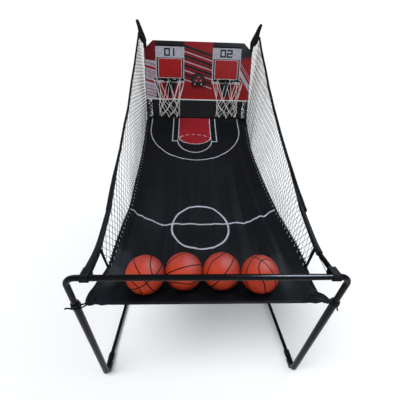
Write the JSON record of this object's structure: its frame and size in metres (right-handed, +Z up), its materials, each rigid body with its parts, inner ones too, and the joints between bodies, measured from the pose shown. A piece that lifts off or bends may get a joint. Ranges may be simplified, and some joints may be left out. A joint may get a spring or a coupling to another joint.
{
  "type": "two-player arcade basketball machine",
  "caption": "Fold-up tube-frame arcade basketball machine with a fabric ball ramp, side nets, and a backboard with hoops and a score display.",
  "frame": {"origin": "on the floor under the middle of the machine's bounding box", "axes": "+X to the right of the players, across the machine; +Y from the front rail towards the backboard; +Z up"},
  "size_m": [1.132, 2.0404, 2.0602],
  "materials": {
    "black_paint": "satin",
    "black_plastic": "matte",
    "black_fabric": "woven",
    "rubber": "matte",
    "steel": "zinc plated",
    "board": "printed",
    "white_plastic": "matte",
    "white_cord": "knotted cord",
    "ball_rubber": "pebbled",
    "display_lens": "tinted"
  },
  "bodies": {
    "rear_frame": {"base_arm_left": "black_paint", "base_arm_right": "black_paint", "base_cross_tube": "black_paint", "board_bar_lower": "black_paint", "board_bar_upper": "black_paint", "upright_left": "black_paint", "upright_right": "black_paint", "rim_left": "black_paint", "rim_right": "black_paint", "rim_plate_left": "black_paint", "rim_plate_right": "black_paint", "rear_joint_left": "black_plastic", "rear_joint_right": "black_plastic", "sensor_housing_left": "black_plastic", "sensor_housing_right": "black_plastic", "score_housing": "black_plastic", "battery_box": "black_plastic", "valance": "black_fabric", "ramp": "black_fabric", "side_net_left": "black_fabric", "side_net_right": "black_fabric", "gusset_left": "black_fabric", "gusset_right": "black_fabric", "base_pad_left": "rubber", "base_pad_right": "rubber", "rear_pad_left": "rubber", "rear_pad_right": "rubber", "fold_bolt_left": "steel", "fold_bolt_right": "steel", "backboard": "board", "board_trim": "white_plastic", "hoop_net_left": "white_cord", "hoop_net_right": "white_cord", "display": "display_lens"},
    "front_frame": {"front_rail": "black_paint", "leg_left": "black_paint", "leg_right": "black_paint", "leg_collar_left": "black_plastic", "leg_collar_right": "black_plastic", "foot_sleeve_left": "black_plastic", "foot_sleeve_right": "black_plastic", "floor_tube_left": "black_paint", "floor_tube_right": "black_paint", "front_pad_left": "rubber", "front_pad_right": "rubber", "net_arm_left": "black_paint", "net_arm_right": "black_paint", "rail_connector_left": "black_plastic", "rail_connector_right": "black_plastic"},
    "paddle_left": {"paddle_left": "black_plastic"},
    "paddle_right": {"paddle_right": "black_plastic"},
    "power_button": {"button_power": "white_plastic"},
    "mode_button": {"button_mode": "white_plastic"},
    "battery_door": {"battery_door": "black_plastic"},
    "ball_1": {"ball_1": "ball_rubber"},
    "ball_2": {"ball_2": "ball_rubber"},
    "ball_3": {"ball_3": "ball_rubber"},
    "ball_4": {"ball_4": "ball_rubber"}
  },
  "joints": [
    {"name": "fold", "type": "hinge", "parent": "rear_frame", "child": "front_frame", "pos_m": [0, 0.94325, 0.022], "axis": [-1, 0, 0], "range_deg": [0, 45]},
    {"name": "paddle_left_swing", "type": "hinge", "parent": "rear_frame", "child": "paddle_left", "pos_m": [-0.261, 0.95975, 1.59], "axis": [1, 0, 0], "range_deg": [0, 20], "stiffness_Nm_per_rad": 0.12, "springref_deg": -6.88},
    {"name": "paddle_right_swing", "type": "hinge", "parent": "rear_frame", "child": "paddle_right", "pos_m": [0.261, 0.95975, 1.59], "axis": [1, 0, 0], "range_deg": [0, 20], "stiffness_Nm_per_rad": 0.12, "springref_deg": -6.88},
    {"name": "power_button_press", "type": "slide", "parent": "rear_frame", "child": "power_button", "axis": [0, 1, 0], "range_m": [0, 0.0025], "stiffness_N_per_m": 400, "springref_m": -0.001},
    {"name": "mode_button_press", "type": "slide", "parent": "rear_frame", "child": "mode_button", "axis": [0, 1, 0], "range_m": [0, 0.0025], "stiffness_N_per_m": 400, "springref_m": -0.001},
    {"name": "battery_door_hinge", "type": "hinge", "parent": "rear_frame", "child": "battery_door", "pos_m": [0, 1.01005, 1.665], "axis": [1, 0, 0], "range_deg": [0, 95]},
    {"name": "ball_1_lift", "type": "slide", "parent": "front_frame", "child": "ball_1", "axis": [0, 0, 1], "range_m": [0, 0.35]},
    {"name": "ball_2_lift", "type": "slide", "parent": "front_frame", "child": "ball_2", "axis": [0, 0, 1], "range_m": [0, 0.35]},
    {"name": "ball_3_lift", "type": "slide", "parent": "front_frame", "child": "ball_3", "axis": [0, 0, 1], "range_m": [0, 0.35]},
    {"name": "ball_4_lift", "type": "slide", "parent": "front_frame", "child": "ball_4", "axis": [0, 0, 1], "range_m": [0, 0.35]}
  ]
}
